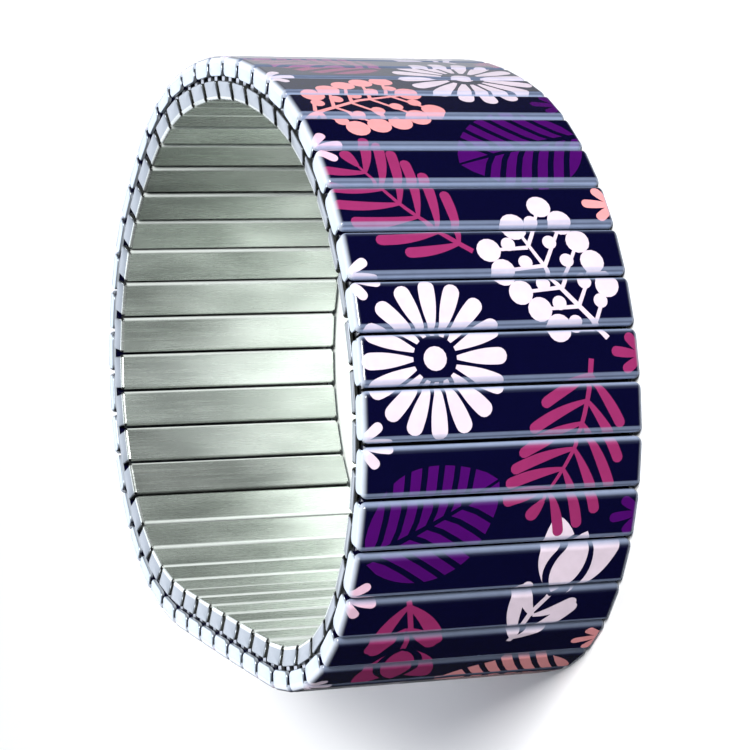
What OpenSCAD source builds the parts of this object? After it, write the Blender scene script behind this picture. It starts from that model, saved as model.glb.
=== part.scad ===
// Stretch bracelet of two rows of steel links held together by spring clips.
// It lies on one rim: Z runs across the band, the oval of the wrist is in X and Y.

/* [Band] */
// Width of the band from rim to rim
band_w = 22; // [16:0.5:28]
// Length of one link along the line where the two rows meet
pitch = 3.8; // [3.5:0.05:4.4]

/* [Outer links] */
// Thickness of an outer link
outer_t = 1.65; // [1.3:0.05:2]
// Gap between two outer links where the rows meet
outer_gap = 0.12; // [0.1:0.01:0.2]
// Rounding of the long printed edges
outer_edge_r = 0.34; // [0.2:0.01:0.4]
// Bend from the printed face down to the end flap
flap_bend_r = 0.45; // [0.2:0.01:0.6]
// Thickness of the end flap
outer_flap_t = 0.3; // [0.2:0.01:0.4]
// Rounding of the printed face's four corners
outer_corner_r = 0.45; // [0.35:0.01:0.6]
// How much narrower the end flap is than the link, on each side
flap_inset = 0.2; // [0.1:0.01:0.25]
// How far the flap's low corners are rounded off, along the band
tongue_run = 0.55; // [0.4:0.05:0.7]
// How far the flap's low corners are rounded off, outward
tongue_rise = 0.42; // [0.3:0.02:0.5]

/* [Inner links] */
// Width of an inner link along the band
inner_w = 3.3; // [3.1:0.05:3.3]
// Thickness of an inner link
inner_t = 1.6; // [1.3:0.05:1.8]
// Space between the two rows at a joint of the outer row
row_gap = 0.4; // [0.3:0.01:0.5]
// How far the inner links end short of the rim
inner_recess = 0.05; // [0.05:0.05:0.2]
// How much further they end short of it on the side that touches the wrist
inner_lean = 0.35; // [0.2:0.01:0.35]
// Bend from the leaning end to the side that touches the wrist
inner_bend_r = 0.2; // [0.1:0.01:0.3]
// Distance from an inner link's end to the hollow inside it
inner_end_t = 0.85; // [0.85:0.05:1]
// Rounding of the long edges that touch the wrist
inner_edge_r = 0.32; // [0.2:0.01:0.4]
// Width of the inner link's end flap
inner_flap_w = 2.95; // [2.8:0.05:3.1]
// Thickness of the inner link's end flap
inner_flap_t = 0.3; // [0.25:0.01:0.35]
// Rounding of the inner flap's corners beside the outer row
inner_flap_r = 0.2; // [0.1:0.01:0.3]

/* [Clips] */
// Width of a clip along the band
clip_w = 0.7; // [0.6:0.05:0.75]
// Distance from a joint of the outer row to the middle of a clip
clip_from_joint = 0.9; // [0.85:0.01:0.92]
// Thickness of the clip's strip
clip_t = 0.26; // [0.2:0.01:0.3]
// Distance from the rim to the clip's web
clip_set_back = 0.4; // [0.4:0.01:0.5]
// Length of the legs that reach into both links
clip_leg = 2.6; // [1.8:0.1:3.2]

/* [Sheet] */
// Wall thickness of the hollow links
wall = 0.25; // [0.2:0.01:0.28]
// Clearance round a clip in its slot
clip_play = 0.09; // [0.08:0.01:0.1]

/* [Hidden] */
$fn = 48;
LINKS = 48;
// Names of the two columns of the outline's table
COUNT = 0;
TURN = 1;
// The oval, as stretches of links: how many joints, and degrees turned at each
OVAL = [
  [3, 4.6],    // crown
  [3, 8.6],    // upper shoulder at the back
  [2, 4.4],
  [4, 10.2],   // back
  [4, 10.5],
  [3, 11.4],
  [2, 7.0],
  [6, 0.2],    // flat run
  [2, 8.2],
  [3, 12.6],   // tight corner below the front
  [4, 10.3],
  [8, 8.3],    // front
  [4, 4.4]     // back up to the crown
];

function sum_to(list, n, i = 0) = i >= n ? 0 : list[i] + sum_to(list, n, i + 1);
turns = [for (stretch = OVAL) for (i = [1 : stretch[COUNT]]) stretch[TURN]];
first_heading = 90;
open_headings = [for (k = [0 : LINKS - 1]) first_heading + sum_to(turns, k)];
open_joints = [for (k = 0, p = [0, 0]; k <= LINKS;
  p = k < LINKS ? p + pitch * [cos(open_headings[k]), sin(open_headings[k])] : p, k = k + 1) p];
// What the rounded turns leave open is shared out over all the joints
misfit = open_joints[LINKS];
loose_joints = [for (k = [0 : LINKS]) open_joints[k] - misfit * k / LINKS];
headings = [for (k = [0 : LINKS - 1]) let (d = loose_joints[k + 1] - loose_joints[k]) atan2(d.y, d.x)];

outer_w = pitch - outer_gap;
// Centres of the rounded outer edges of every link, for the size of the whole oval
edge_centres = [for (k = [0 : LINKS - 1]) for (side = [-1, 1])
  (loose_joints[k] + loose_joints[k + 1]) / 2
  + (outer_t - outer_edge_r) * [sin(headings[k]), -cos(headings[k])]
  + side * (outer_w / 2 - outer_edge_r) * [cos(headings[k]), sin(headings[k])]];
xs = [for (p = edge_centres) p.x];
ys = [for (p = edge_centres) p.y];
middle = [(min(xs) + max(xs)) / 2, (min(ys) + max(ys)) / 2];
joints = [for (p = loose_joints) p - middle];

link_names = [for (k = [1 : LINKS]) str("outer_link_", k < 10 ? "0" : "", k)];

low_edge_r = 0.1;
clip_from_middle = pitch / 2 - clip_from_joint;
slot_w = clip_w + 2 * clip_play;
slot_start = clip_set_back - clip_play;
slot_end = inner_recess + inner_end_t + clip_play;
inner_top = -row_gap;
inner_low = -row_gap - inner_t;
upper_leg = wall + clip_play;
lower_leg = inner_top - wall - clip_play - clip_t;
tongue_r = (tongue_run * tongue_run + tongue_rise * tongue_rise) / (2 * tongue_rise);
// The inner flap's rounding starts below the link, so that it meets the wrist side at an angle
flap_overlap = 0.1;

// Smallest turn of the heading from one link to the next, always within half a turn
function turned(from, to) = (to - from + 540) % 360 - 180;
function heading_before(k) = headings[(k + LINKS - 1) % LINKS];
function joint_heading(k) = heading_before(k) + turned(heading_before(k), headings[k % LINKS]) / 2;

// Local frame of a piece: X points outward, Y along the band, Z across it
module place(point, heading) {
  translate([point.x, point.y, 0]) rotate([0, 0, heading - 90]) children();
}

module on_outer_link(k) {
  place((joints[k] + joints[k + 1]) / 2, headings[k]) children();
}

module on_inner_link(k) {
  place(joints[k], joint_heading(k)) children();
}

// A bar's outline from X = low to X = high, with its own rounding at each end
module bar_outline(low, high, w, low_r, high_r) {
  translate([low + low_r, -w / 2]) square([high - low - low_r - high_r, w]);
  translate([low, -w / 2 + low_r]) square([low_r, w - 2 * low_r]);
  translate([high - high_r, -w / 2 + high_r]) square([high_r, w - 2 * high_r]);
  for (side = [-1, 1]) {
    translate([low + low_r, side * (w / 2 - low_r)]) circle(r = low_r);
    translate([high - high_r, side * (w / 2 - high_r)]) circle(r = high_r);
  }
}

// Seen along the band: a plate whose corners on one side bend over the ends
module side_outline(thick, length, bend_r) {
  square([thick - bend_r, length]);
  translate([0, bend_r]) square([thick, length - 2 * bend_r]);
  for (z = [bend_r, length - bend_r]) translate([thick - bend_r, z]) circle(r = bend_r);
}

// The inner link seen along the band, from its top inward: its ends lean, then turn over a bend
module leaning_outline() {
  length = band_w - 2 * inner_recess;
  lean = atan2(inner_lean, inner_t);
  bend_at = inner_lean + inner_bend_r * (1 - sin(lean)) / cos(lean);
  // Where the leaning end runs into its bend
  touch = [inner_t - inner_bend_r * (1 - sin(lean)), bend_at - inner_bend_r * cos(lean)];
  polygon([[0, 0], touch, [touch.x, length - touch.y], [0, length]]);
  translate([0, bend_at]) square([inner_t, length - 2 * bend_at]);
  for (z = [bend_at, length - bend_at]) translate([inner_t - inner_bend_r, z]) circle(r = inner_bend_r);
}

// A solid of the width w along the band with the side outline that is its child
module across(w) {
  translate([0, w / 2, 0]) rotate([90, 0, 0]) linear_extrude(w) children();
}

// The outer link's plan, with its four corners rounded
module rounded_plan() {
  r = outer_corner_r;
  rotate([0, 90, 0]) linear_extrude(outer_t) mirror([1, 0]) {
    translate([0, -outer_w / 2 + r]) square([band_w, outer_w - 2 * r]);
    translate([r, -outer_w / 2]) square([band_w - 2 * r, outer_w]);
    for (z = [r, band_w - r]) for (side = [-1, 1]) translate([z, side * (outer_w / 2 - r)]) circle(r = r);
  }
}

// The outer link's end flap: a tongue whose low corners are rounded off
module tongue_outline() {
  w = outer_w - 2 * flap_inset;
  flat = w / 2 - tongue_run;
  intersection() {
    bar_outline(0, outer_t, w, low_edge_r, outer_edge_r);
    union() {
      translate([0, -flat]) square([outer_t, 2 * flat]);
      translate([tongue_rise, -w / 2]) square([outer_t, w]);
      for (side = [-1, 1]) translate([tongue_r, side * flat]) circle(r = tongue_r);
    }
  }
}

// What is cut off round an end flap, whose outline is the child
module beside_flap(low, high) {
  margin = 1;
  difference() {
    translate([low - margin, -pitch / 2]) square([high - low + 2 * margin, pitch]);
    children();
  }
}

module both_ends(start) {
  translate([0, 0, start]) children();
  translate([0, 0, band_w - start]) mirror([0, 0, 1]) children();
}

// The slots that let a clip's web pass through the wall between the rows
module clip_slots(low, high, from_middle) {
  for (side = [-1, 1])
    both_ends(slot_start) translate([low, side * from_middle - slot_w / 2, 0])
      cube([high - low, slot_w, slot_end - slot_start]);
}

module outer_link() {
  color("midnightblue") difference() {
    intersection() {
      linear_extrude(band_w) bar_outline(0, outer_t, outer_w, low_edge_r, outer_edge_r);
      across(outer_w) side_outline(outer_t, band_w, flap_bend_r);
      rounded_plan();
    }
    both_ends(-outer_flap_t) linear_extrude(2 * outer_flap_t)
      beside_flap(0, outer_t) tongue_outline();
    translate([wall, -outer_w / 2 + wall, outer_flap_t])
      cube([outer_t - 2 * wall, outer_w - 2 * wall, band_w - 2 * outer_flap_t]);
    clip_slots(-wall, upper_leg + clip_t + clip_play, clip_from_middle);
  }
}

module inner_link() {
  length = band_w - 2 * inner_recess;
  hollow = length - 2 * inner_end_t;
  color("silver") difference() {
    translate([0, 0, inner_recess]) intersection() {
      linear_extrude(length) bar_outline(inner_low, inner_top, inner_w, inner_edge_r, low_edge_r);
      across(inner_w) translate([inner_top, 0]) mirror([1, 0]) leaning_outline();
    }
    both_ends(inner_recess - inner_flap_t) linear_extrude(inner_lean + 2 * inner_flap_t)
      beside_flap(inner_low, inner_top)
        bar_outline(inner_low - flap_overlap, inner_top, inner_flap_w, inner_edge_r, inner_flap_r);
    translate([inner_low + wall, -inner_w / 2 + wall, inner_recess + inner_end_t])
      cube([inner_t - 2 * wall, inner_w - 2 * wall, hollow]);
    clip_slots(lower_leg - 2 * clip_play, inner_top + wall, clip_from_joint);
  }
}

// A strip bent to a U: the web crosses the rows, one leg lies in each link
module clip() {
  color("gainsboro") translate([0, -clip_w / 2, clip_set_back]) {
    translate([lower_leg, 0, 0]) cube([upper_leg + clip_t - lower_leg, clip_w, clip_t]);
    for (x = [lower_leg, upper_leg]) translate([x, 0, 0]) cube([clip_t, clip_w, clip_leg]);
  }
}

// Every clip of one rim: two in each outer link, each shared with an inner link
module rim_clips() {
  for (k = [0 : LINKS - 1]) {
    half_turn = turned(headings[k], joint_heading(k));
    next_half_turn = turned(headings[k], joint_heading(k + 1));
    on_outer_link(k) {
      translate([0, -clip_from_middle, 0]) rotate([0, 0, half_turn / 2]) clip();
      translate([0, clip_from_middle, 0]) rotate([0, 0, next_half_turn / 2]) clip();
    }
  }
}

module near_rim_clips() {
  translate([0, 0, band_w]) mirror([0, 0, 1]) rim_clips();
}

module far_rim_clips() {
  rim_clips();
}

module inner_links() {
  for (k = [0 : LINKS - 1]) on_inner_link(k) inner_link();
}

for (k = [0 : LINKS - 1])
  on_outer_link(k) outer_link();
inner_links();
near_rim_clips();
far_rim_clips();
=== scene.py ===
# %% [markdown]
# # A printed stretch bracelet
# The bracelet is an expansion band. Forty-eight narrow steel links stand side by side round the wrist and
# carry a glossy print on their outer faces. A second row of brushed links lies inside them, half a link
# further on, and small clips hold the two rows together along both rims.
# The CAD model already has every link in its place, so this lesson reads the places from it and builds the
# surfaces: rounded printed faces, folded steel ends, brushed backs. Lengths are in millimetres until a mesh
# is made, and MM turns them into Blender's metres.

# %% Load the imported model
import math
import random

import bpy
import numpy as np
from mathutils import Matrix, Vector
from mathutils.geometry import delaunay_2d_cdt


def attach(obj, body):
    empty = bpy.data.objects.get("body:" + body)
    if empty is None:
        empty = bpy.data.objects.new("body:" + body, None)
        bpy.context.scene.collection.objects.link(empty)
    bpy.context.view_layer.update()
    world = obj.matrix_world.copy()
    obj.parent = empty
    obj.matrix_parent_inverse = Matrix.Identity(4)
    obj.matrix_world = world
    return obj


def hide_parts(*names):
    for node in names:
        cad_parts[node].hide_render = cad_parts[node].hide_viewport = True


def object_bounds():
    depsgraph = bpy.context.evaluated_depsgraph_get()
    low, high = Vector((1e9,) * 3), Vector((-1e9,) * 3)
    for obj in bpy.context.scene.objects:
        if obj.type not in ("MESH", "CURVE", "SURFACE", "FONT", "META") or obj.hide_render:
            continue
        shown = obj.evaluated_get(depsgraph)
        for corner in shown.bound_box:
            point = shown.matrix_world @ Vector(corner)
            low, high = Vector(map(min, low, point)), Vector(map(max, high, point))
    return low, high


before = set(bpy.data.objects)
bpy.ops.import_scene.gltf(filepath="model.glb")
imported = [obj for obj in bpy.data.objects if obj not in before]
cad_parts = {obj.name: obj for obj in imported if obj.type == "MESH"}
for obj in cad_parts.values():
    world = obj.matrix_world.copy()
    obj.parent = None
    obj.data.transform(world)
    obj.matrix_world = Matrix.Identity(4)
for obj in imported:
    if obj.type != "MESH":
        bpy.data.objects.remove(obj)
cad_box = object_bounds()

MM = 0.001
LINKS = sorted(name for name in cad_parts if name.startswith("outer_link_"))
print(len(LINKS), "printed links in the frame")

# %% [markdown]
# Every printed link is the same bar, only turned and moved. The place of a bar can be typed in again, or it
# can be measured on the CAD mesh. Measuring is safer: the largest flat face of a link is its printed face or
# the face behind it, so its normal, pointed away from the middle of the oval, is the outward direction.

# %% Measure where each link stands
def stand_of(node):
    """Origin, outward and along directions of a link, and its thickness and width, in millimetres"""
    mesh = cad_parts[node].data
    widest = max(mesh.polygons, key=lambda face: face.area)
    out = Vector((widest.normal.x, widest.normal.y, 0)).normalized()
    if out.dot(widest.center) < 0:
        out.negate()
    along = Vector((-out.y, out.x, 0))
    outs = [v.co.dot(out) / MM for v in mesh.vertices]
    alongs = [v.co.dot(along) / MM for v in mesh.vertices]
    origin = out * min(outs) + along * (min(alongs) + max(alongs)) / 2
    return {"origin": origin, "out": out, "along": along,
            "thick": max(outs) - min(outs), "width": max(alongs) - min(alongs)}


stands = [stand_of(name) for name in LINKS]
BAND = cad_box[1].z / MM
THICK = stands[0]["thick"]
WIDTH = stands[0]["width"]
print("band %.2f, link %.2f wide and %.2f thick" % (BAND, WIDTH, THICK))

# %% [markdown]
# The brushed links stand at the joints of the outer row. Where two neighbours meet, the joint lies at the
# end of both, and it faces the direction half-way between theirs. So nothing more has to be measured.

# %% Work out the joints from the neighbours
JOINT_GAP = 0.12
PITCH = WIDTH + JOINT_GAP


def joint_after(k):
    """The stand of the brushed link between the outer links k and k + 1"""
    here, after = stands[k], stands[(k + 1) % len(stands)]
    out = (here["out"] + after["out"]).normalized()
    end = here["origin"] + here["along"] * PITCH / 2
    start = after["origin"] - after["along"] * PITCH / 2
    return {"origin": (end + start) / 2, "out": out, "along": Vector((-out.y, out.x, 0))}


joints = [joint_after(k) for k in range(len(stands))]
print(len(joints), "joints, %.2f mm from one to the next" % PITCH)

# %% [markdown]
# A link is a bar whose broad face rolls over into its sides, as sheet does when it is bent round a die. A
# bevel modifier could round the edges, but its normals change from facet to facet, and a glossy print shows
# that as kinks in its reflections. Here one formula gives the whole face. In plan it is a rectangle with
# rounded corners, and two numbers say how far a point has gone into the roll across and along the bar.
# Together they are the sine of the angle that the surface has turned, so its normals are exact.

# %% The rolled surface of a bar
NEARLY_FLAT = 0.02


def risen(value, start, end):
    """0 up to the start, 1 from the end on, and even in between"""
    return np.clip((value - start) / (end - start), 0, 1)


class Roll:
    """A face at the height `top` over the rectangle width x length, rolled down round its outline"""

    def __init__(self, width, length, side_roll, end_roll, top):
        self.half_w, self.half_l = width / 2, length / 2
        self.side, self.end, self.top = side_roll, end_roll, top

    def turned(self, y, z):
        """How far points lie into the roll across and along the bar: 0 on the flat, 1 at the outline"""
        across = (np.abs(y) - self.half_w + self.side) / self.side
        along = (np.abs(z) - self.half_l + self.end) / self.end
        return risen(across, NEARLY_FLAT, 1), risen(along, NEARLY_FLAT, 1)

    def level(self, across, along):
        """The cosine of the angle that the surface has turned"""
        return np.sqrt(np.clip(1 - across ** 2 - along ** 2, 0, 1))

    def drop(self, across, along):
        """The depth of the roll, which passes from the side's to the end's round a corner"""
        both = across ** 2 + along ** 2
        share = np.where(both > 0, along ** 2 / np.maximum(both, 1e-9), 0)
        return self.side + (self.end - self.side) * share

    def height(self, y, z):
        across, along = self.turned(y, z)
        return self.top - self.drop(across, along) * (1 - self.level(across, along))

    def normal(self, y, z):
        across, along = self.turned(y, z)
        up = self.level(across, along) / self.drop(across, along)
        n = np.stack([up, np.sign(y) * across / self.side, np.sign(z) * along / self.end], -1)
        return n / np.linalg.norm(n, axis=-1, keepdims=True)

    def loop(self, sine, steps=7):
        """The line where the surface has turned by the angle of that sine, with rounded corners"""
        points = []
        for sy, sz in ((1, 1), (-1, 1), (-1, -1), (1, -1)):
            corner_y, corner_z = sy * (self.half_w - self.side), sz * (self.half_l - self.end)
            angles = [math.pi / 2 * i / steps for i in range(steps + 1)]
            if sy * sz < 0:
                angles.reverse()
            for a in angles:
                points.append((corner_y + sy * self.side * sine * math.cos(a),
                               corner_z + sz * self.end * sine * math.sin(a)))
        return points


# %% [markdown]
# A rolled face is meshed in rings at even steps of the angle. The innermost ring lies a hair outside the
# flat, because on it all points of a corner would fall into one. On the real band the printed faces nearly
# touch, so they are made a little wider than the bars that carry them: the dark line between two links is
# then nearly as thin as in the photograph.

# %% The printed face
ROLL_STEPS = 9
ROLL_SINES = [math.sin(math.pi / 2 * i / ROLL_STEPS) for i in range(ROLL_STEPS, 0, -1)] + [NEARLY_FLAT]
PRINT_OVER = 0.05
SIDE_ROLL = 0.52
END_ROLL = 0.47
printed = Roll(WIDTH + PRINT_OVER, BAND, SIDE_ROLL, END_ROLL, THICK)
print("rings of a rolled face at the sines", [round(s, 2) for s in ROLL_SINES])

# %% [markdown]
# The print is a garden pattern on a night-blue ground: fern sprigs, daisies, tulips, berry twigs and broad
# veined leaves in white, pale pink, raspberry, violet and coral. It could be painted by nodes, but outlines
# this sharp need either a picture or real edges. Here each motif is a handful of closed outlines drawn by
# short functions on the unrolled band, where U runs along the band and W across it.

# %% Inks
INKS = {
    "night": (0.0014, 0.0014, 0.018),
    "white": (0.64, 0.54, 0.62),
    "blush": (0.68, 0.44, 0.55),
    "raspberry": (0.25, 0.022, 0.105),
    "violet": (0.055, 0.002, 0.105),
    "coral": (0.72, 0.29, 0.30),
}
drawn = []


def draw(ink, outline):
    """Keeps a closed outline, in millimetres on the unrolled band; later ones lie on top"""
    drawn.append((ink, np.array(outline)))


def turn(points, angle, u, w):
    """Points turned about the origin and then moved to U, W"""
    c, s = math.cos(angle), math.sin(angle)
    return [(u + c * x - s * y, w + s * x + c * y) for x, y in points]


print(len(INKS), "inks, the ground among them")

# %% [markdown]
# Nearly every part of the print is a brush stroke: a line with a width that changes along it. Each could be
# a Blender curve with a radius, but the triangulation below wants plain points. So one function turns a line
# and its half widths into an outline, and the others only say which line and which widths.

# %% Strokes
HAIR = 0.001      # half width at the tip of a stroke, so that its outline never touches itself
STEM = 0.42       # thickness of a stem


def stroke(path, halves):
    """The outline of a line through the points of the path, with the half width at each point"""
    left, right = [], []
    for i, ((x, y), half) in enumerate(zip(path, halves)):
        before, after = path[max(i - 1, 0)], path[min(i + 1, len(path) - 1)]
        dx, dy = after[0] - before[0], after[1] - before[1]
        size = math.hypot(dx, dy)
        left.append((x - dy / size * half, y + dx / size * half))
        right.append((x + dy / size * half, y - dx / size * half))
    return left + right[::-1]


def bent(length, bend, steps):
    """A line along +X from the origin that leaves it sideways by `bend` of its length"""
    return [(length * i / steps, bend * length * (i / steps) ** 2) for i in range(steps + 1)]


def finger(length, width, bend=0.0, foot=0.35, steps=12):
    """A stroke that starts narrow, grows and ends round; its points crowd towards the round end"""
    shares = [1 - (1 - i / steps) ** 1.6 for i in range(steps + 1)]
    halves = []
    for t in shares:
        grown = foot + (1 - foot) * math.sin(math.pi / 2 * min(1, t / 0.75))
        cap = max(0, (t - 1) * length + width / 2) / (width / 2)
        halves.append(width / 2 * grown * math.sqrt(1 - min(1, cap) ** 2) + HAIR)
    return stroke([(length * t, bend * length * t * t) for t in shares], halves)


def blade(length, width, bend=0.0, fullest=0.42, steps=14):
    """A leaf along +X from its foot at the origin, pointed at both ends"""
    power = math.log(0.5) / math.log(fullest)
    halves = [width / 2 * math.sin(math.pi * (i / steps) ** power) ** 0.7 + HAIR for i in range(steps + 1)]
    return stroke(bent(length, bend, steps), halves)


def stem(path, thick, thin):
    """A stroke that thins evenly"""
    last = len(path) - 1
    return stroke(path, [(thick + (thin - thick) * i / last) / 2 for i in range(len(path))])


def disc(x, y, radius, steps=16):
    return [(x + radius * math.cos(2 * math.pi * i / steps), y + radius * math.sin(2 * math.pi * i / steps))
            for i in range(steps)]


print("a leaflet's outline has", len(finger(5, 1)), "points")

# %% [markdown]
# A motif is drawn about its own middle, in shares of its size, and then turned and moved to its place on the
# band. The fern sprig is a bowed stem with pairs of leaflets, shorter towards its foot and its tip, and the
# daisy is one petal repeated round a heart. Line widths don't grow with the motif, so they are in millimetres.

# %% Fern and daisy
def fern(ink, u, w, size, angle):
    """A bowed stem with pairs of finger-like leaflets that lean towards its tip"""
    bow = 0.08
    pairs = 6

    def rib(t):
        return size * (t - 0.5), bow * size * (math.sin(math.pi * t) - 0.6)

    draw(ink, turn(stem([rib(i / 12) for i in range(13)], STEM, 0.2), angle, u, w))
    for i in range(pairs):
        t = 0.10 + 0.75 * i / (pairs - 1)
        x, y = rib(t)
        slope = math.atan(bow * math.pi * math.cos(math.pi * t))
        reach = size * 0.47 * math.sin(math.pi * (0.24 + 0.62 * t)) ** 0.9
        for side in (-1, 1):
            leaf = turn(finger(reach, 0.84, bend=-0.16 * side, foot=0.3), 0.6 * slope + side * 1.0, x, y)
            draw(ink, turn(leaf, angle, u, w))
    x, y = rib(0.92)
    draw(ink, turn(turn(finger(size * 0.16, 1.0), math.atan(-bow * math.pi), x, y), angle, u, w))


def daisy(ink, u, w, size, angle):
    """Round-tipped petals round a small heart"""
    petals = 16
    for i in range(petals):
        petal = [(x + size * 0.15, y) for x, y in finger(size * 0.35, size * 0.112, foot=0.25)]
        draw(ink, turn(petal, angle + 2 * math.pi * i / petals, u, w))
    draw(ink, turn(disc(0, 0, size * 0.08), 0, u, w))


fern("white", 0, 0, 10, 0)
print("a fern sprig has", len(drawn), "outlines")
drawn.clear()

# %% [markdown]
# The tulip's cup is three petals, and the line between them is a blade in the ground's ink, a little wider
# than the petal that lies on it. The berry twig is discs on short stalks.

# %% Tulip and berries
def tulip(ink, u, w, size, angle):
    """A cup of three petals over a stem with four narrow leaves"""
    def at(points, tilt=0.0, x=0.0, y=0.0):
        return turn(turn(points, tilt, x - size * 0.02, y), angle, u, w)

    draw(ink, at(stem([(-size * 0.48, 0), (-size * 0.2, size * 0.03), (0, 0)], STEM, STEM)))
    for side in (-1, 1):
        bow = -0.30 * side
        draw(ink, at(finger(size * 0.46, 1.2, bend=bow, foot=0.3), side * 0.80, -size * 0.44))
        draw(ink, at(finger(size * 0.30, 1.0, bend=bow, foot=0.3), side * 1.05, -size * 0.22))
        petal = blade(size * 0.52, size * 0.26, bend=0.26 * side, fullest=0.5)
        draw(ink, at(petal, side * 0.16, 0, size * 0.05 * side))
    draw("night", at(blade(size * 0.52, size * 0.33, fullest=0.42), 0, -size * 0.03))
    draw(ink, at(blade(size * 0.46, size * 0.22, fullest=0.44)))


def berries(ink, u, w, size, angle):
    """A twig with round berries on short stalks"""
    draw(ink, turn(stem([(-size * 0.5, 0), (0, size * 0.05), (size * 0.36, 0)], STEM, 0.25), angle, u, w))
    for i in range(5):
        t = -0.40 + 0.165 * i
        for side in (-1, 1):
            tip = (size * (t + 0.15), side * size * (0.31 - 0.17 * abs(t - 0.02)))
            draw(ink, turn(stem([(size * t, size * 0.03), tip], 0.32, 0.24), angle, u, w))
            draw(ink, turn(disc(*tip, size * 0.085), angle, u, w))
            low = (size * (t + 0.10), side * size * 0.125)
            draw(ink, turn(disc(*low, size * 0.05), angle, u, w))
    draw(ink, turn(disc(size * 0.42, 0, size * 0.09), angle, u, w))


tulip("white", 0, 0, 10, 0)
print("a tulip has", len(drawn), "outlines")
drawn.clear()

# %% [markdown]
# The broad leaf is one blade with its veins drawn over it in the ground's ink. That needs far fewer outlines
# than cutting the leaf into strips between its veins. A sprig of three leaflets fills what stays empty.

# %% Broad leaf and sprig
def broad_leaf(ink, u, w, size, angle):
    """A wide leaf with its veins left in the ground colour"""
    bow = 0.06

    def at(points):
        return turn(turn(points, 0, -size / 2, 0), angle, u, w)

    draw(ink, at(blade(size, size * 0.76, bend=bow, fullest=0.45, steps=22)))
    draw("night", at(stem(bent(size, bow, 8), 0.55, 0.2)))
    for i in range(6):
        t = 0.06 + 0.132 * i
        for side in (-1, 1):
            path = [(size * (t + 0.30 * s), bow * size * t * t + side * size * 0.46 * s ** 1.3)
                    for s in (0, 0.25, 0.5, 0.75, 1.0)]
            draw("night", at(stem(path, STEM, 0.50)))


def sprig(ink, u, w, size, angle):
    """Three small leaflets that fill a gap"""
    for tilt, part in ((-0.75, 0.8), (0, 1.0), (0.75, 0.8)):
        draw(ink, turn(turn(finger(size * part, size * 0.3, foot=0.3), tilt, -size / 2, 0), angle, u, w))


MOTIFS = {"fern": fern, "daisy": daisy, "tulip": tulip, "berries": berries, "leaf": broad_leaf}
print(len(MOTIFS), "kinds of motif, and the sprig")

# %% [markdown]
# The motifs are set out in two rows round the band, the upper row half a step further on, as on a printed
# ribbon. A short table gives the repeat: the kind, its ink and how it is turned, for both rows. Small sprigs
# fill the gaps along the rims. The band holds a whole number of repeats, so the pattern closes on itself, and
# a seeded random turn keeps the repeats from looking stamped. A leaf goes under all that is already drawn,
# because its veins run on past its outline and would cut into its neighbours.

# %% Set out the pattern
ROUND = PITCH * len(LINKS)
REPEATS = 2
# kind, ink and turn in degrees in the row beside the floor, then the same in the row at the upper rim
PATTERN = [
    ("fern", "white", 20, "daisy", "blush", 0),
    ("daisy", "raspberry", 5, "fern", "white", 150),
    ("leaf", "coral", 75, "tulip", "raspberry", 200),
    ("tulip", "white", 330, "leaf", "violet", 300),
    ("fern", "raspberry", 165, "daisy", "white", 10),
    ("berries", "white", 40, "fern", "raspberry", 35),
    ("leaf", "violet", 110, "berries", "coral", 290),
    ("daisy", "white", 0, "leaf", "raspberry", 60),
]
STEP = ROUND / REPEATS / len(PATTERN)
ROWS = (0.26, 0.74)
SIZE = 11.2
SWING = 12
FILLERS = ("raspberry", "white", "coral", "blush", "violet", "white")
FILLER_ROWS = (0.045, 0.955)
FILLER_TURNS = (90, 270)
FILLER_SIZE = 2.6
lots = random.Random(7)
for place in range(REPEATS * len(PATTERN)):
    for row in (0, 1):
        kind, ink, degrees = PATTERN[place % len(PATTERN)][3 * row:3 * row + 3]
        u = (place + 0.5 * row) * STEP
        swing = lots.uniform(-SWING, SWING)
        before = len(drawn)
        MOTIFS[kind](ink, u, ROWS[row] * BAND, SIZE, math.radians(degrees + swing))
        if kind == "leaf":
            drawn[:] = drawn[before:] + drawn[:before]
        filler = FILLERS[(2 * place + row) % len(FILLERS)]
        lean = math.radians(FILLER_TURNS[row] + swing)
        sprig(filler, u + STEP / 2, FILLER_ROWS[row] * BAND, FILLER_SIZE, lean)
print(len(drawn), "outlines drawn")

# %% [markdown]
# Each printed link shows the strip of the pattern that lies over it, as if the band had been printed whole
# and then cut. So a link first picks the outlines that reach into its strip. The pattern is a loop: an
# outline just beyond the seam counts for the link on the other side of it.

# %% Pick the outlines over one link
def strip_outlines(k):
    """The outlines over link k, as (ink, points) in the link's own Y and Z"""
    found = []
    middle = (k + 0.5) * PITCH
    for ink, outline in drawn:
        u = outline[:, 0] - middle
        u = u - round(u.mean() / ROUND) * ROUND
        if u.max() < -WIDTH / 2 or u.min() > WIDTH / 2:
            continue
        z = outline[:, 1] - BAND / 2
        if z.max() < -BAND / 2 or z.min() > BAND / 2:
            continue
        found.append((ink, np.stack([u, z], 1)))
    return found


print("link 41 lies under", len(strip_outlines(40)), "outlines")

# %% [markdown]
# The face is meshed by a constrained triangulation: the outline of the link, the lines of its roll and all
# the motif lines that cross it are given as edges, and every triangle then lies inside or outside a motif as
# a whole. A triangle takes its ink from the last outline that holds its middle. A fine grid of quads would
# be simpler, but it shows steps along every curved outline.

# %% Triangulate the strip of one link
MARGIN = 0.2          # lines that end further than this beside the link are left out
ONE_POINT = 1e-4      # points closer than this are merged


def inside(outline, points):
    """Which points lie in a closed outline, counted by the edges they pass"""
    x, y = points[:, 0], points[:, 1]
    found = np.zeros(len(points), bool)
    x1, y1 = outline[-1]
    for x2, y2 in outline:
        if y1 != y2:
            crossing = (y1 > y) != (y2 > y)
            found ^= crossing & (x < (x2 - x1) * (y - y1) / (y2 - y1) + x1)
        x1, y1 = x2, y2
    return found


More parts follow.
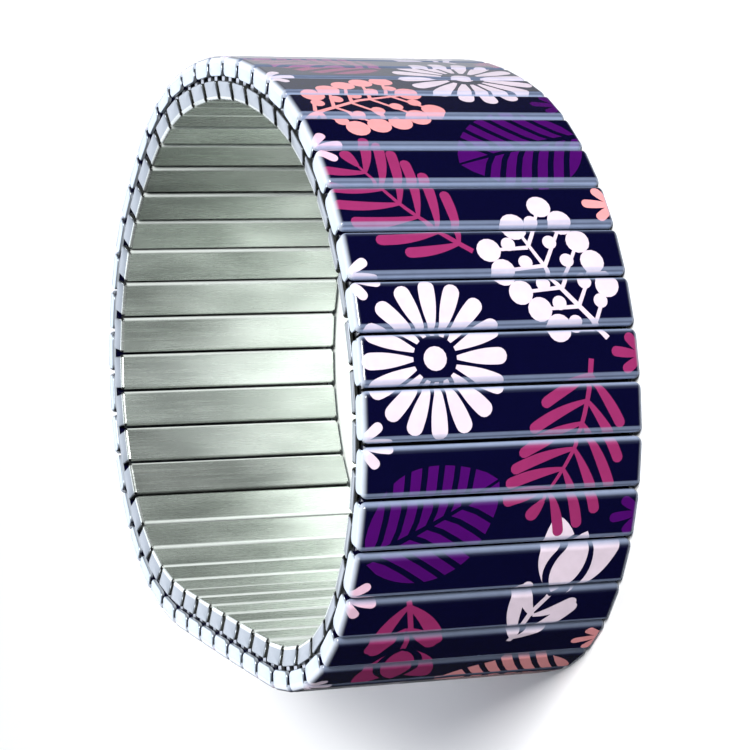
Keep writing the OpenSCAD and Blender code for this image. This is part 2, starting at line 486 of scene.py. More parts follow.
def triangulate(roll, outlines):
    """Points and triangles of the face, with each triangle's ink"""
    points, edges = [], []
    reach = roll.half_w + MARGIN

    def add_loop(loop):
        first, count = len(points), len(loop)
        points.extend(Vector(p) for p in loop)
        for i in range(count):
            j = (i + 1) % count
            if min(loop[i][0], loop[j][0]) <= reach and max(loop[i][0], loop[j][0]) >= -reach:
                edges.append((first + i, first + j))

    for sine in ROLL_SINES:
        add_loop(roll.loop(sine))
    for ink, outline in outlines:
        add_loop([tuple(p) for p in outline])
    co, _, faces, _, _, _ = delaunay_2d_cdt(points, edges, [], 0, ONE_POINT)
    co = np.array([tuple(c) for c in co])
    faces = np.array([tuple(f) for f in faces])
    middles = co[faces].mean(axis=1)
    across, along = roll.turned(middles[:, 0], middles[:, 1])
    kept = (across ** 2 + along ** 2 < 1) & (np.abs(middles[:, 0]) < roll.half_w) & \
           (np.abs(middles[:, 1]) < roll.half_l)
    faces, middles = faces[kept], middles[kept]
    inks = np.array(["night"] * len(faces), dtype=object)
    for ink, outline in outlines:
        inks[inside(outline, middles)] = ink
    return co, faces, inks


co, faces, inks = triangulate(printed, strip_outlines(40))
print("link 41 has", len(faces), "triangles,", round(float(np.mean(inks != "night")), 2), "of them in colour")

# %% [markdown]
# A mesh helper collects corners with their own normals and inks, so that one mesh can be smooth over its
# rolls and crisp at its folds. Blender keeps such normals as custom split normals, and the inks as a colour
# attribute with one value for each corner of each face. A part is drawn in the link's own frame: H runs from
# the row gap up to the link's broad face, Y along the band and Z from the middle of the band to a rim. The
# helper turns it into the band's frame at once, and turns each face to look the way its normals point.

# %% Collect corners into a mesh
def facing(verts, face):
    """Normal of a face by Newell's sums, which also hold for many-sided faces"""
    a = verts[list(face)]
    b = np.roll(a, -1, axis=0)
    return np.cross(a, b).sum(axis=0)


class Body:
    """Faces of one piece, with a normal and an ink for each corner and a finish for each face"""

    def __init__(self, name):
        self.name = name
        self.verts, self.faces, self.normals, self.inks, self.slots = [], [], [], [], []

    def stand_at(self, stand, foot=0.0, way=1):
        """Where the next parts go: H starts at `foot`, and runs outward (way 1) or inward (way -1)"""
        out, along = stand["out"], stand["along"]
        self.axes = np.array([[out.x * way, out.y * way, 0], [along.x, along.y, 0], [0, 0, 1]])
        self.origin = np.array(stand["origin"]) + np.array(out) * foot + np.array([0, 0, BAND / 2])

    def add(self, verts, faces, normals, inks=(1.0, 1.0, 1.0), slot=0):
        """Verts and normals are rows (H, Y, Z); inks is one colour, or an array with one for each corner"""
        verts, normals = np.array(verts, float), np.array(normals, float)
        faces = [tuple(f) for f in faces]
        used = sorted({i for f in faces for i in f})
        new = dict(zip(used, range(len(self.verts), len(self.verts) + len(used))))
        verts, normals = verts @ self.axes + self.origin, normals @ self.axes
        self.verts.extend(verts[used])
        if all(len(f) == 3 for f in faces):
            t = np.array(faces)
            look = np.cross(verts[t[:, 1]] - verts[t[:, 0]], verts[t[:, 2]] - verts[t[:, 0]])
            wrong = (look * normals[t].sum(axis=1)).sum(axis=1) < 0
        else:
            wrong = [facing(verts, f) @ normals[list(f)].sum(axis=0) < 0 for f in faces]
        one_ink = isinstance(inks, tuple)
        for n, face in enumerate(faces):
            order = range(len(face))[::-1] if wrong[n] else range(len(face))
            self.faces.append([new[face[i]] for i in order])
            self.normals.extend(normals[face[i]] for i in order)
            self.inks.extend([inks] * len(face) if one_ink else [inks[n][i] for i in order])
            self.slots.append(slot)

    def make(self, materials):
        """The finished object, with its normals and its "ink" attribute"""
        mesh = bpy.data.meshes.new(self.name)
        mesh.from_pydata(np.array(self.verts) * MM, [], self.faces)
        for material in materials:
            mesh.materials.append(material)
        mesh.polygons.foreach_set("material_index", self.slots)
        mesh.polygons.foreach_set("use_smooth", [True] * len(self.faces))
        rgba = np.ones((len(self.inks), 4), np.float32)
        rgba[:, :3] = self.inks
        mesh.color_attributes.new("ink", "FLOAT_COLOR", "CORNER").data.foreach_set("color", rgba.ravel())
        mesh.normals_split_custom_set(np.array(self.normals))
        mesh.update()
        piece = bpy.data.objects.new(self.name, mesh)
        bpy.context.scene.collection.objects.link(piece)
        return piece


def ring_faces(count):
    """Quads between two rings of the same number of points, one after the other"""
    return [(i, (i + 1) % count, (i + 1) % count + count, i + count) for i in range(count)]


print("two rings of 4 points give", ring_faces(4))

# %% [markdown]
# Under its broad face a link is a folded steel channel, and it is put together the same way. First come two
# plain parts: a short skirt that carries the rolled face down over its sides, and a core behind it, a bar
# set back from the ends. One solid block would do from outside, but both rims look into the gap between the
# rows, and there the fold under the face and the bevelled edges of the channel show.

# %% Skirt and core
SKIRT = 0.08
BEVEL = 0.1


def skirt(body, roll, ink_at, under):
    """The side under a rolled face, and its closed underside in the colour `under`"""
    outline = np.array(roll.loop(1.0))
    y, z = outline[:, 0], outline[:, 1]
    count = len(outline)
    sideways = roll.normal(y, z) * (0, 1, 1)
    low = roll.top - max(roll.side, roll.end) - SKIRT
    high = np.stack([roll.height(y, z), y, z], -1)
    down = np.stack([np.full(count, low), y, z], -1)
    faces = ring_faces(count)
    rows = ink_at(y, z)
    inks = [[rows[i % count] for i in face] for face in faces]
    body.add(np.concatenate([high, down]), faces, np.concatenate([sideways, sideways]), inks)
    body.add(down, [range(count)], [(-1, 0, 0)] * count, under)


def core(body, half_w, half_l, top, ink):
    """A closed bar from H = 0 to top, with its two low long edges bevelled"""
    profile = [(top, -half_w), (BEVEL, -half_w), (0, -half_w + BEVEL),
               (0, half_w - BEVEL), (BEVEL, half_w), (top, half_w)]
    sides = [(0, -1, 0), (-0.7, -0.7, 0), (-1, 0, 0), (-0.7, 0.7, 0), (0, 1, 0)]
    for i, normal in enumerate(sides):
        (h1, y1), (h2, y2) = profile[i], profile[i + 1]
        quad = [(h1, y1, -half_l), (h2, y2, -half_l), (h2, y2, half_l), (h1, y1, half_l)]
        body.add(quad, [(0, 1, 2, 3)], [normal] * 4, ink)
    for end in (-1, 1):
        body.add([(h, y, end * half_l) for h, y in profile], [range(6)], [(0, 0, end)] * 6, ink)


print("a skirt reaches %.2f mm below its face" % (max(SIDE_ROLL, END_ROLL) + SKIRT))

# %% [markdown]
# At both ends a tongue of the sheet is bent down as a flap. It is narrower than the link and its low corners
# are rounded off, which leaves the black triangles between neighbours along the rims. The flap could be an
# extruded outline with a bevel, but folded sheet is never quite flat: its face bulges a little and mirrors
# as a soft patch. So the face, its soft edge and its cut sides are built as three bands, and the face gets
# normals that lean outward towards its edge. The flaps of the inner links are the same, but lean.

# %% Flaps
SHEET = 0.3
FLAP_SOFT = 0.09
DOME = 0.2
END_FINISH = 1      # flaps take the second finish of their body


def flap_outline(half_w, low, top, run, rise, steps=6):
    """A tongue in H and Y: straight at its top, with low corners rounded off by run and rise"""
    corner = [(low + rise * (1 - math.cos(a)), half_w - run * (1 - math.sin(a)))
              for a in [math.pi / 2 * i / steps for i in range(steps + 1)]]
    side = corner + [(top, half_w)]
    return side + [(h, -y) for h, y in side[::-1]]


def flaps(body, half_w, top, run, rise, rim, lean, cut_beside, cut_below):
    """Both end flaps: their faces start at Z = rim at H = 0 and lean back by `lean` for each unit of H.
    The cut sides of the sheet take the body's first finish, in the colour `cut_beside` towards the
    neighbouring links and `cut_below` along the row gap"""
    outer = np.array(flap_outline(half_w, 0, top, run, rise))
    inner = np.array(flap_outline(half_w - FLAP_SOFT, FLAP_SOFT, top, run, rise))
    count = len(outer)
    ring = ring_faces(count)
    fan = [(i, (i + 1) % count, count) for i in range(count)]
    middle = np.array([[top * 0.55, 0.0]])

    step = np.roll(outer, -1, axis=0) - np.roll(outer, 1, axis=0)
    out_h, out_y = step[:, 1], -step[:, 0]
    flip = np.sign((out_h * (outer[:, 0] - top / 2) + out_y * outer[:, 1]).sum())
    sides = np.stack([out_h, out_y, np.zeros(count)], -1) * flip / np.hypot(out_h, out_y)[:, None]
    lowness = np.clip(-sides[:, 0], 0, 1) ** 2
    cut = [tuple(np.array(cut_beside) * (1 - share) + np.array(cut_below) * share) for share in lowness]
    cut_inks = [[cut[i % count] for i in face] for face in ring]
    for end in (-1, 1):
        def at(points, depth):
            return np.stack([points[:, 0], points[:, 1], end * (rim - lean * points[:, 0] - depth)], -1)

        front = np.array([lean, 0, end]) / math.hypot(lean, 1)
        domed = front + DOME * sides
        domed /= np.linalg.norm(domed, axis=-1, keepdims=True)
        face = at(np.concatenate([inner, middle]), 0)
        body.add(face, fan, np.concatenate([domed, [front]]), slot=END_FINISH)
        edge = np.concatenate([at(inner, 0), at(outer, FLAP_SOFT)])
        body.add(edge, ring, np.concatenate([domed, sides]), slot=END_FINISH)
        wall = np.concatenate([at(outer, FLAP_SOFT), at(outer, SHEET)])
        body.add(wall, ring, np.concatenate([sides, sides]), cut_inks)
        body.add(at(outer, SHEET), [range(count)], [-front] * count, cut_beside)


print("a flap's outline has", len(flap_outline(1, 0, 1, 0.5, 0.5)), "points")

# %% [markdown]
# The finishes come next. All of them are built from the same few nodes, so each gets a short helper that
# hands on an output socket: a noise, a number spread over a new range, a mix of two colours, a bump. The Mix
# node has sockets for numbers, vectors and colours under the same names, so its colour sockets are reached
# by their places: 0 for the factor, 6 and 7 for the colours, and 2 for the result.

# %% Node helpers
def new_material(name):
    material = bpy.data.materials.new(name)
    material.use_nodes = True
    tree = material.node_tree
    return material, tree, tree.nodes["Principled BSDF"]


def node(tree, kind, **values):
    """A new node; each value is set on the input of that name, or else on the node itself"""
    made = tree.nodes.new(kind)
    for key, value in values.items():
        if key in made.inputs:
            made.inputs[key].default_value = value
        else:
            setattr(made, key, value)
    return made


def noise(tree, place, scale, detail, roughness):
    """Soft spots, about `scale` of them to the metre"""
    made = node(tree, "ShaderNodeTexNoise", Scale=scale, Detail=detail, Roughness=roughness)
    tree.links.new(place, made.inputs["Vector"])
    return made.outputs["Fac"]


def ramp(tree, value, start, end, low, high, shape="SMOOTHSTEP"):
    """A number that goes from low to high while `value` goes from start to end"""
    made = node(tree, "ShaderNodeMapRange", interpolation_type=shape)
    for name, number in zip(("From Min", "From Max", "To Min", "To Max"), (start, end, low, high)):
        made.inputs[name].default_value = number
    tree.links.new(value, made.inputs["Value"])
    return made.outputs["Result"]


def mix_colours(tree, factor, first, second, blend="MIX"):
    """A colour mix; each of the three can be a number, a colour or another node's output socket"""
    made = node(tree, "ShaderNodeMix", data_type="RGBA", blend_type=blend)
    for index, given in ((0, factor), (6, first), (7, second)):
        if isinstance(given, bpy.types.NodeSocket):
            tree.links.new(given, made.inputs[index])
        else:
            made.inputs[index].default_value = given
    return made.outputs[2]


def bump(tree, height, strength, distance):
    """The normal over a relief whose full height is `distance`, in metres"""
    made = node(tree, "ShaderNodeBump", Strength=strength, Distance=distance)
    tree.links.new(height, made.inputs["Height"])
    return made.outputs["Normal"]


def share_along(tree, place, direction):
    """How far a place or a direction lies along another direction"""
    made = node(tree, "ShaderNodeVectorMath", operation="DOT_PRODUCT")
    made.inputs[1].default_value = direction
    tree.links.new(place, made.inputs[0])
    return made.outputs["Value"]


print("node helpers ready")

# %% [markdown]
# The print is ink under a thick clear coat, so its colour comes from the corner attribute and its gloss from
# the coat. A low roughness without a coat would mirror as well, but then the ink and the gloss could not
# differ. Real printed links are never quite even: the ink varies a little in density and the coat is very
# slightly wavy, which breaks up the reflections.

# %% Printed enamel
def printed_enamel():
    material, tree, shader = new_material("printed_enamel")
    ink = node(tree, "ShaderNodeVertexColor", layer_name="ink").outputs["Color"]
    place = node(tree, "ShaderNodeTexCoord").outputs["Object"]
    grains = noise(tree, place, scale=900.0, detail=3.0, roughness=0.6)
    density = ramp(tree, grains, 0.0, 1.0, 0.86, 1.10, "LINEAR")
    tree.links.new(mix_colours(tree, 1.0, ink, density, "MULTIPLY"), shader.inputs["Base Color"])
    waves = noise(tree, place, scale=170.0, detail=1.0, roughness=0.4)
    wave = bump(tree, waves, strength=0.05, distance=0.0002)
    tree.links.new(wave, shader.inputs["Normal"])
    tree.links.new(wave, shader.inputs["Coat Normal"])
    shader.inputs["Roughness"].default_value = 0.35
    shader.inputs["Coat Weight"].default_value = 1.0
    shader.inputs["Coat Roughness"].default_value = 0.03
    shader.inputs["Coat IOR"].default_value = 1.5
    shader.inputs["Specular IOR Level"].default_value = 0.0
    return material


enamel = printed_enamel()
print(enamel.name, "has", len(enamel.node_tree.nodes), "nodes")

# %% [markdown]
# The folded ends and the clips are plain steel, almost polished, with a faint bluish tint painted into their
# colour, a painted reflection of a pale surround. The leaning ends of the inner links and the clips are the
# same steel painted darker, a painted shade. One noise gives all of their unevenness: a little tone, a little
# roughness and a very little bump. They are not quite metallic, because worn and handled steel also scatters
# some light, and a pure mirror would go black wherever the studio does.

# %% Bright steel
# painted reflection: all three tones lean blue for a pale surround; the leaning and clip tones are darker, a
# painted shade
FOLDED_TONE = (0.48, 0.545, 0.61)
LEANING_SHADED_TONE = (0.28, 0.31, 0.345)
CLIP_SHADED_TONE = (0.32, 0.34, 0.38)


def bright_steel(name, tone, roughness, metal):
    material, tree, shader = new_material(name)
    place = node(tree, "ShaderNodeTexCoord").outputs["Object"]
    grain = noise(tree, place, scale=420.0, detail=2.0, roughness=0.5)
    dull_and_shade = ramp(tree, grain, 0.0, 1.0, roughness - 0.07, roughness + 0.09, "LINEAR")
    tree.links.new(dull_and_shade, shader.inputs["Roughness"])
    shade = mix_colours(tree, grain, (*[c * 0.9 for c in tone], 1), (*tone, 1))
    tree.links.new(shade, shader.inputs["Base Color"])
    tree.links.new(bump(tree, grain, strength=0.05, distance=0.00002), shader.inputs["Normal"])
    shader.inputs["Metallic"].default_value = metal
    return material


end_steel = bright_steel("folded_end_steel", FOLDED_TONE, 0.33, 0.7)
lean_shaded_steel = bright_steel("leaning_end_steel_shaded", LEANING_SHADED_TONE, 0.33, 0.7)
clip_shaded_steel = bright_steel("clip_shaded_steel", CLIP_SHADED_TONE, 0.30, 0.9)
print("bright steels:", end_steel.name, lean_shaded_steel.name, clip_shaded_steel.name)

# %% [markdown]
# The inner row is brushed lengthwise. A brushed finish is thousands of fine scratches in one direction. An
# anisotropic shader blurs the mirror image the right way but shows no scratches, so a noise is stretched far
# along the link instead, and drives roughness, tint and a little bump. A second, broader noise gives soft
# clouds. The corner attribute carries three facts here: red is the shade of the link, a random tone because
# no two took the brush alike, with painted shade in it; green is where its noise starts; and blue is a
# painted highlight on one long edge and the end bends.

# %% Brushed steel
BRUSHED_DARK = (0.48, 0.52, 0.485, 1)
BRUSHED_LIGHT = (0.84, 0.895, 0.845, 1)
# painted highlight: colour and metalness of the bright long edge and the end bends
HIGHLIGHT_TONE = (0.86, 0.91, 0.88, 1)
METAL_BRUSHED = (0.8, 0.8, 0.8, 1)
METAL_HIGHLIGHT = (0.3, 0.3, 0.3, 1)


def streaks(tree, place, start, along_band, scale, detail):
    """Noise in streaks across the band: along them it changes only `along_band` times as fast. It is
    different on every link, because it starts elsewhere"""
    stretch = node(tree, "ShaderNodeMapping")
    stretch.inputs["Scale"].default_value = (1.0, 1.0, along_band)
    tree.links.new(place, stretch.inputs["Vector"])
    made = node(tree, "ShaderNodeTexNoise", noise_dimensions="4D", Scale=scale, Detail=detail, Roughness=0.6)
    tree.links.new(stretch.outputs["Vector"], made.inputs["Vector"])
    tree.links.new(start, made.inputs["W"])
    return made.outputs["Fac"]


def brushed_steel():
    material, tree, shader = new_material("brushed_link_steel")
    place = node(tree, "ShaderNodeTexCoord").outputs["Object"]
    link = node(tree, "ShaderNodeSeparateColor")
    ink = node(tree, "ShaderNodeVertexColor", layer_name="ink")
    tree.links.new(ink.outputs["Color"], link.inputs["Color"])
    shade, painted_highlight = link.outputs["Red"], link.outputs["Blue"]
    start = node(tree, "ShaderNodeMath", operation="MULTIPLY")
    start.inputs[1].default_value = 60.0
    tree.links.new(link.outputs["Green"], start.inputs[0])
    lines = streaks(tree, place, start.outputs["Value"], along_band=0.03, scale=5200.0, detail=4.0)
    clouds = streaks(tree, place, start.outputs["Value"], along_band=0.40, scale=150.0, detail=2.0)
    tone = mix_colours(tree, ramp(tree, clouds, 0.34, 0.66, 0.0, 1.0), BRUSHED_DARK, BRUSHED_LIGHT)
    tone = mix_colours(tree, 1.0, tone, ramp(tree, lines, 0.3, 0.7, 0.94, 1.04), "MULTIPLY")
    # the link's shade, with painted shade in it, and then the painted highlight, are mixed into the colour
    tone = mix_colours(tree, 1.0, tone, shade, "MULTIPLY")
    tone = mix_colours(tree, painted_highlight, tone, HIGHLIGHT_TONE)
    tree.links.new(tone, shader.inputs["Base Color"])
    tree.links.new(ramp(tree, lines, 0.3, 0.7, 0.20, 0.30), shader.inputs["Roughness"])
    tree.links.new(bump(tree, lines, strength=0.16, distance=0.00003), shader.inputs["Normal"])
    tree.links.new(mix_colours(tree, painted_highlight, METAL_BRUSHED, METAL_HIGHLIGHT), shader.inputs["Metallic"])
    return material


link_steel = brushed_steel()
print(link_steel.name, "has", len(link_steel.node_tree.nodes), "nodes")

# %% [markdown]
# Along its ends the print wears thin. The ink thins out over the end bends, where the sheet was rolled
# after printing and its pale ground shows through. The rolled long edges carry a painted highlight: a pale
# veil in the colours of the edge highlights, which outlines every link clearly against its neighbours. On
# one long edge it is a soft band with a fine bright line, and on the other a single pale rim. A veil is given
# as a few steps across the roll and blended into the inks of the corners, so it follows the roll exactly.
# The links that face down get a dimmer pale rim, a painted shade.

# %% Worn edges of the print
END_GROUND = (0.60, 0.66, 0.76)
LOW_EDGE_HIGHLIGHT = (0.29, 0.36, 0.52)
TOP_EDGE_HIGHLIGHT = (0.38, 0.46, 0.64)
END_FADE = (0.25, 0.92)
# how far across the roll, and how much of the painted highlight shows there
LOW_HIGHLIGHT_VEIL = ((0.0, 0.0), (0.12, 0.34), (0.45, 0.50), (0.68, 0.22), (0.86, 0.85), (1.0, 0.75))
TOP_HIGHLIGHT_VEIL = ((0.0, 0.0), (0.45, 0.05), (0.80, 0.62), (1.0, 0.90))
# painted shade: how much dimmer the upper rim's painted highlight is on links that face down
DOWN_FACING_SHADE = 0.5


def rim_light_of(stand):
    """How bright the painted highlight on the upper rim is: 1 for links that face up or sideways in the
    camera's view, less for those that face down, a painted shade
    """
    return 1 - DOWN_FACING_SHADE * risen(-stand["out"].x, 0, 0.6)


def worn_ends_and_edge_highlights(colours, y, z, rim_light):
    """Colours with the pale ground showing through at the ends, and a painted highlight along both long edges
    """
    across, along = printed.turned(y, z)
    low, top = np.interp(across, *zip(*LOW_HIGHLIGHT_VEIL)), np.interp(across, *zip(*TOP_HIGHLIGHT_VEIL))
    shown = np.where(y < 0, low, top)[..., None]
    # painted highlight on both long edges; on the upper rim of links that face down it is dimmed, a painted
    # shade
    edge = np.where(y[..., None] < 0, np.array(LOW_EDGE_HIGHLIGHT), np.array(TOP_EDGE_HIGHLIGHT) * rim_light)
    ends = (risen(along, *END_FADE) ** 1.3)[..., None]
    veiled = colours * (1 - shown) + edge * shown
    return veiled * (1 - ends) + np.array(END_GROUND) * ends


print("wear of the pale rims from %.2f to %.2f" % (min(map(rim_light_of, stands)), max(map(rim_light_of, stands))))

# %% [markdown]
# Now the printed links themselves, one piece each, as they would come off the press. All of them could share
# one mesh, but each carries its own strip of the print. Every piece stands for its CAD link, rides on the
# root body and takes the printed enamel for its printed faces.

# %% Build the printed links
CORE_INSET = 0.01
CORE_SHORT = 0.4
CORE_LOW = 0.5
FLAP_INSET = 0.2
FLAP_LOW = 0.45
FLAP_RUN = 0.55
FLAP_RISE = 0.42
FLAP_BACK = 0.01
CUT_STEEL = (0.45, 0.50, 0.56)
UNDERSIDE = (0.30, 0.33, 0.37)


def printed_link(k):
    """The link over CAD link k: its printed face, skirt, core and flaps"""
    night = INKS["night"]
    # painted shade: the upper rim's painted highlight is dimmer on links that face down
    rim_light = rim_light_of(stands[k])
    body = Body("printed_link_%02d" % (k + 1))
    body.stand_at(stands[k])

    def ground_with_highlights_at(y, z):
        return worn_ends_and_edge_highlights(np.array(night), y, z, rim_light)

    co, faces, inks = triangulate(printed, strip_outlines(k))
    y, z = co[:, 0], co[:, 1]
    colours = np.array([INKS[name] for name in inks])[:, None, :]
    verts = np.stack([printed.height(y, z), y, z], -1)
    # the print, with its pale worn ends and a painted highlight on the long edges; the skirt below carries the
    # same painted highlight
    body.add(verts, faces, printed.normal(y, z), worn_ends_and_edge_highlights(colours, y[faces], z[faces], rim_light))
    skirt(body, printed, ground_with_highlights_at, UNDERSIDE)
    # painted shade: the core and the flaps' cut sides beside the neighbours are in the night-blue ground, a
    # dark sheet for the shade in the gaps between links
    core(body, WIDTH / 2 - CORE_INSET, BAND / 2 - CORE_SHORT, THICK - CORE_LOW, night)
    flaps(body, WIDTH / 2 - FLAP_INSET, THICK - FLAP_LOW, FLAP_RUN, FLAP_RISE,
          BAND / 2 - FLAP_BACK, 0.0, night, CUT_STEEL)
    piece = body.make([enamel, end_steel])
    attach(piece, "root")
    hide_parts(LINKS[k])
    return piece


links = [printed_link(k) for k in range(len(LINKS))]
print("faces in the printed links", sum(len(o.data.polygons) for o in links))

# %% [markdown]
# The inner links have their broad faces to the wrist and long edges with a small roll. Their ends lean: they
# nearly reach the rim beside the outer row and stay further short of it at the wrist, which keeps hard
# corners off the skin. Sizes and places are those of the CAD solids, and only the bends differ a little. A
# new kind of surface isn't needed: the rolled face of the printed links serves, only turned inward, shorter,
# and with a tighter bend at the ends.

# %% Measures of the inner row
ROW_GAP = 0.4
INNER_THICK = 1.6
INNER_WIDTH = 3.3
INNER_ROLL = 0.30
END_BEND = 0.3
RECESS = 0.05
LEAN = 0.35 / INNER_THICK
BEND_Z = BAND / 2 - RECESS - LEAN * (INNER_THICK - END_BEND)
brushed = Roll(INNER_WIDTH, 2 * BEND_Z, INNER_ROLL, END_BEND, INNER_THICK)
print("a brushed face is %.2f x %.2f mm" % (INNER_WIDTH, 2 * BEND_Z))

# %% [markdown]
# The light and shade along the edges of the inner links is painted into their colour. One long edge of each
# gets a painted highlight, a bright line, and the other a painted shade that leaves it nearly black. The end
# bends get a painted highlight a little brighter than the flat, and the corners a dark painted shade. A mask
# from the pointiness of the mesh would brighten all edges alike, so the painted light is worked out for each
# corner from how far it lies in the roll, and stored in the attribute.

# %% Shade and wear of a brushed link
def steel_ink(shade, start, lit_side):
    """Rows for the brushed finish: the shade with painted shade in it, where the streaks start, and the
    painted highlight. The long edge on the lit side gets a painted highlight, and the other one and the
    corners painted shade"""
    def rows(y, z):
        across, along = brushed.turned(y, z)
        side = across * lit_side * np.sign(y)
        # painted highlight on the lit long edge and the end bends; painted shade on the other long edge, the
        # ends and the corners
        painted_highlight = risen(side, 0.02, 0.55) * (1 - risen(along, 0, 0.4))
        bend = 0.22 * risen(along, 0.1, 0.6) * (1 - risen(across, 0, 0.3))
        dull_and_shade = 1 - 0.75 * risen(-side, 0.1, 0.9) - 0.15 * risen(along, 0.2, 1)
        corner = 0.95 * risen(np.minimum(across, along), 0, 0.3)
        shades = shade * np.maximum(dull_and_shade, 0.1) * (1 - corner)
        return [(s, start, w) for s, w in zip(shades, np.maximum(painted_highlight, bend))]
    return rows


print("middle of a brushed face:", steel_ink(1.0, 0.5, 1)(np.array([0.0]), np.array([0.0])))

# %% [markdown]
# The face has no print, so it needs no triangulation: rings of quads lead from its outline to one flat face
# in the middle. The real links hang loosely on their clips, and each mirrors a slightly different part of
# the room. Turning the links would break the exact fit of the row, so only the normals are tipped a little.

# %% A brushed face
def plain_face(body, roll, ink_at, tip):
    """A rolled face without a print, in rings from its outline to its flat middle, tipped a little"""
    levels = [roll.loop(s) for s in ROLL_SINES]
    count = len(levels[0])
    points = np.array([p for loop in levels for p in loop])
    y, z = points[:, 0], points[:, 1]
    faces = [tuple(i + level * count for i in quad) for level in range(len(levels) - 1)
             for quad in ring_faces(count)]
    faces.append(tuple(range((len(levels) - 1) * count, len(levels) * count)))
    rows = ink_at(y, z)
    inks = [[rows[i] for i in face] for face in faces]
    normals = roll.normal(y, z) + np.array([0, *tip])
    normals /= np.linalg.norm(normals, axis=-1, keepdims=True)
    body.add(np.stack([roll.height(y, z), y, z], -1), faces, normals, inks)


print("a brushed face has", len(ROLL_SINES), "rings")

# %% [markdown]
# The row is one piece of forty-eight loose links, as it is one node in the CAD model. Each link gets a random
# shade, start of its noise and tip, all seeded. The links towards +X, high in the camera's view, mirror the
# dark side of the room, and their colour is darkened as well, a painted shade.

# %% Build the brushed inner row
INNER_CORE_SHORT = 0.7
INNER_CORE_LOW = 0.28
INNER_FLAP = 2.95
INNER_FLAP_OVER = 0.05
INNER_CORNER = 0.2
SHADES = (0.84, 1.06)
TIP = 0.09
SHADED_HIGH_X = (4, 16)
HIGH_PAINTED_SHADE = 0.5
HIDDEN_PAINTED_SHADE = 0.2
SKIRT_PAINTED_SHADE = 0.3
LIT_EDGE_TOWARDS = Vector((0.6, -0.8, 0))
inner = Body("brushed_inner_links")
shades = random.Random(11)
for joint in joints:
    inner.stand_at(joint, -ROW_GAP, -1)
    shade, start = shades.uniform(*SHADES), shades.random()
    # painted shade: links towards +X are darkened for the dark side of the room that they mirror
    shade *= 1 - HIGH_PAINTED_SHADE * risen(joint["origin"].x, *SHADED_HIGH_X)
    lit_side = math.copysign(1, joint["along"].dot(LIT_EDGE_TOWARDS))
    tip = shades.uniform(-TIP, TIP), shades.uniform(-TIP, TIP)
    plain_face(inner, brushed, steel_ink(shade, start, lit_side), tip)
    # painted shade: the skirts, cores and cut sides of the inner links are darkened for the shade in the gaps
    # between them
    dull_and_shade = (HIDDEN_PAINTED_SHADE, start, 0.0)
    skirt(inner, brushed, steel_ink(SKIRT_PAINTED_SHADE, start, lit_side), dull_and_shade)
    core(inner, INNER_WIDTH / 2 - CORE_INSET, BAND / 2 - INNER_CORE_SHORT, INNER_THICK - INNER_CORE_LOW, dull_and_shade)
    flaps(inner, INNER_FLAP / 2, INNER_THICK - END_BEND + INNER_FLAP_OVER, INNER_CORNER, INNER_CORNER,
          BAND / 2 - RECESS - FLAP_BACK, LEAN, dull_and_shade, dull_and_shade)
inner_row = inner.make([link_steel, lean_shaded_steel])
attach(inner_row, "root")
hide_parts("inner_links")
print("faces in the inner row", len(inner_row.data.polygons))

# %% [markdown]
# The clips are small bent strips that show only as bright bits between the rows. Their shape is exact in the
# CAD model, so they stay and only get their finish.

# %% Finish the clips
# the clip steel is painted darker, a painted shade for the gaps between the rows
for name in ("near_rim_clips", "far_rim_clips"):
    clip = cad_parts[name]
    clip.data.materials.clear()
    clip.data.materials.append(clip_shaded_steel)
    print(name, "finished in", clip_shaded_steel.name)

# %% [markdown]
# The bracelet lies on one rim on a plain white floor, while the photograph shows it standing on its edge.
# Either the object or the camera can be turned. The object has to stay where the CAD model lies, so the
# camera looks along the photograph's line of sight and is rolled with it. The eye, the directions and the
# focal length put the links where the photograph shows them.

# %% Camera
EYE = Vector((20.2, -201.35, 85.74)) * MM
LOOK = Vector((-0.1013, 0.928, -0.3585))
PICTURE_RIGHT = Vector((0.0063, -0.3598, -0.933))
PICTURE_DOWN = Vector((-0.9948, -0.0968, 0.0306))
lens = bpy.data.cameras.new("camera")
lens.sensor_width = 36
lens.lens = 122.71
lens.clip_start = 0.005
lens.clip_end = 5
camera = bpy.data.objects.new("camera", lens)
bpy.context.scene.collection.objects.link(camera)
axes = Matrix((PICTURE_RIGHT, -PICTURE_DOWN, -LOOK)).transposed()
camera.matrix_world = Matrix.Translation(EYE) @ axes.to_4x4()
bpy.context.scene.camera = camera
print("camera %.0f mm from the middle of the floor" % (EYE.length / MM))

# %% [markdown]
# The floor is one plane in two pieces. The part round the oval is plain white, and mirrors don't see it,
# because the photograph's glossy links mirror a dark room below them. The part inside the oval does show in
# the brushed links. In the photograph they mirror a gradient, light on one side and grey on the other, so
# this part is a card with such a gradient. A lamp inside the oval would do it too, but it would also light
# the floor.

# %% Floor
CARD_SLOPE = (0.45, 0.9, 0.0)
CARD_RAMP = (-0.010, 0.008, 0.0, 1.0)
CARD_DARK = (0.27, 0.28, 0.27, 1)
CARD_LIGHT = (0.93, 0.97, 0.93, 1)
WHITE = (0.97, 0.97, 0.97, 1)
FLOOR_REACH = 60      # times as far out as the oval


def white_floor():
    material, tree, shader = new_material("white_floor")
    shader.inputs["Base Color"].default_value = WHITE
    shader.inputs["Roughness"].default_value = 0.7
    return material


def graded_card():
    """The card inside the oval, painted lighter towards one corner: painted light and shade for the brushed
    links to mirror
    """
    material, tree, shader = new_material("graded_card")
    place = node(tree, "ShaderNodeTexCoord").outputs["Object"]
    # painted light: a gradient from grey to light across the card
    light = ramp(tree, share_along(tree, place, CARD_SLOPE), *CARD_RAMP)
    tree.links.new(mix_colours(tree, light, CARD_DARK, CARD_LIGHT), shader.inputs["Base Color"])
    shader.inputs["Roughness"].default_value = 0.8
    return material


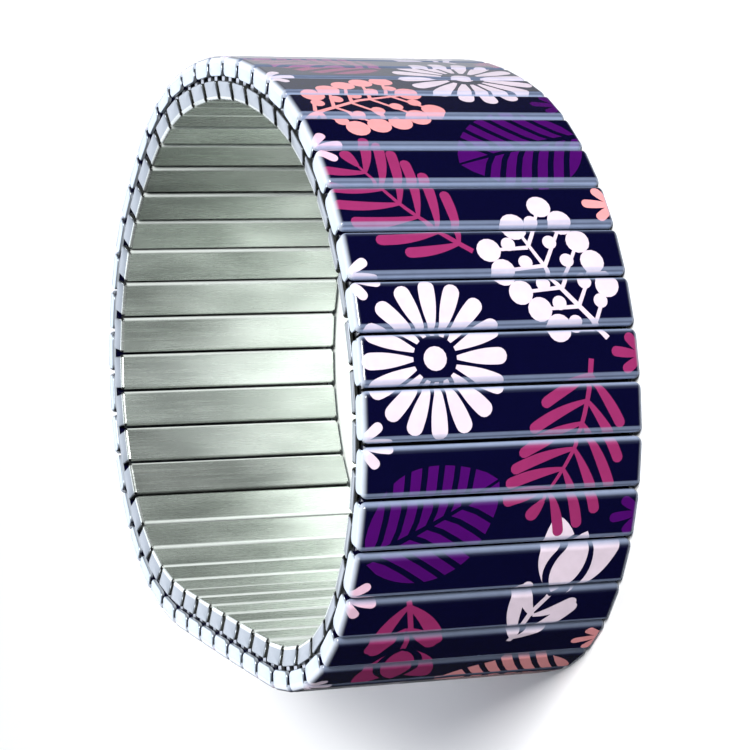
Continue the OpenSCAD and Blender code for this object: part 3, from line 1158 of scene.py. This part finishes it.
def lay(name, verts, faces, material, mirrored):
    mesh = bpy.data.meshes.new(name)
    mesh.from_pydata(verts, [], faces)
    mesh.materials.append(material)
    piece = bpy.data.objects.new(name, mesh)
    bpy.context.scene.collection.objects.link(piece)
    piece.visible_glossy = mirrored


oval = [stand["origin"] for stand in stands]
near = [(p.x * MM, p.y * MM, 0) for p in oval]
far = [(p.x * MM * FLOOR_REACH, p.y * MM * FLOOR_REACH, 0) for p in oval]
lay("floor_inside", near, [tuple(range(len(oval)))], graded_card(), True)
lay("floor_round", near + far, ring_faces(len(oval)), white_floor(), False)
print("floor laid in two pieces")

# %% [markdown]
# The room itself is only seen in the gloss. The photograph's flaps and faces mirror a bright side wall, a
# brighter patch higher up and darkness below. A picture of a room would give that, but so do two soft
# patches in a dark world: each is bright where a direction lies close to the patch's own. Below the horizon
# one patch counts, above it the other, with a soft change between them.

# %% The studio round it
STUDIO_TINT = (0.88, 0.92, 1.0, 1)
WALL = (0.26, 0.96, 0.0)
WALL_EDGE = (0.70, 0.95)
WALL_STRENGTH = (0.025, 0.8)
PATCH = (-0.10, 0.93, 0.36)
PATCH_EDGE = (0.66, 0.92)
PATCH_STRENGTH = (0.10, 2.4)
HORIZON = (-0.08, 0.12)


def studio():
    world = bpy.data.worlds.new("studio")
    bpy.context.scene.world = world
    world.use_nodes = True
    tree = world.node_tree
    sky = tree.nodes["Background"]
    sky.inputs["Color"].default_value = STUDIO_TINT
    look = node(tree, "ShaderNodeTexCoord").outputs["Generated"]
    wall = ramp(tree, share_along(tree, look, WALL), *WALL_EDGE, *WALL_STRENGTH)
    patch = ramp(tree, share_along(tree, look, PATCH), *PATCH_EDGE, *PATCH_STRENGTH)
    parts = node(tree, "ShaderNodeSeparateXYZ")
    tree.links.new(look, parts.inputs["Vector"])
    height = ramp(tree, parts.outputs["Z"], *HORIZON, 0.0, 1.0)
    strength = node(tree, "ShaderNodeMix")      # its numbers are at 2 and 3, their mix at 0
    tree.links.new(height, strength.inputs[0])
    tree.links.new(wall, strength.inputs[2])
    tree.links.new(patch, strength.inputs[3])
    tree.links.new(strength.outputs[0], sky.inputs["Strength"])


studio()
print("the world is made of", len(bpy.context.scene.world.node_tree.nodes), "nodes")

# %% [markdown]
# One large soft box lights the bracelet, from the camera's side and above. A second light would fill the
# shadows, but the photograph has a single soft one. The colours are meant as they are, so the plain view
# transform is used.

# %% Key light
KEY_PLACE = Vector((420, -660, 620)) * MM
KEY_AIM = Vector((0, 0, 5)) * MM
KEY_SIDE = 340 * MM
KEY_POWER = 15.0

light = bpy.data.lights.new("key", "AREA")
light.shape = "RECTANGLE"
light.size = light.size_y = KEY_SIDE
light.energy = KEY_POWER
key = bpy.data.objects.new("key", light)
bpy.context.scene.collection.objects.link(key)
key.location = KEY_PLACE
key.rotation_euler = (KEY_AIM - key.location).to_track_quat("-Z", "Y").to_euler()
bpy.context.scene.view_settings.view_transform = "Standard"
print("key light %.0f mm away" % ((KEY_AIM - KEY_PLACE).length / MM))
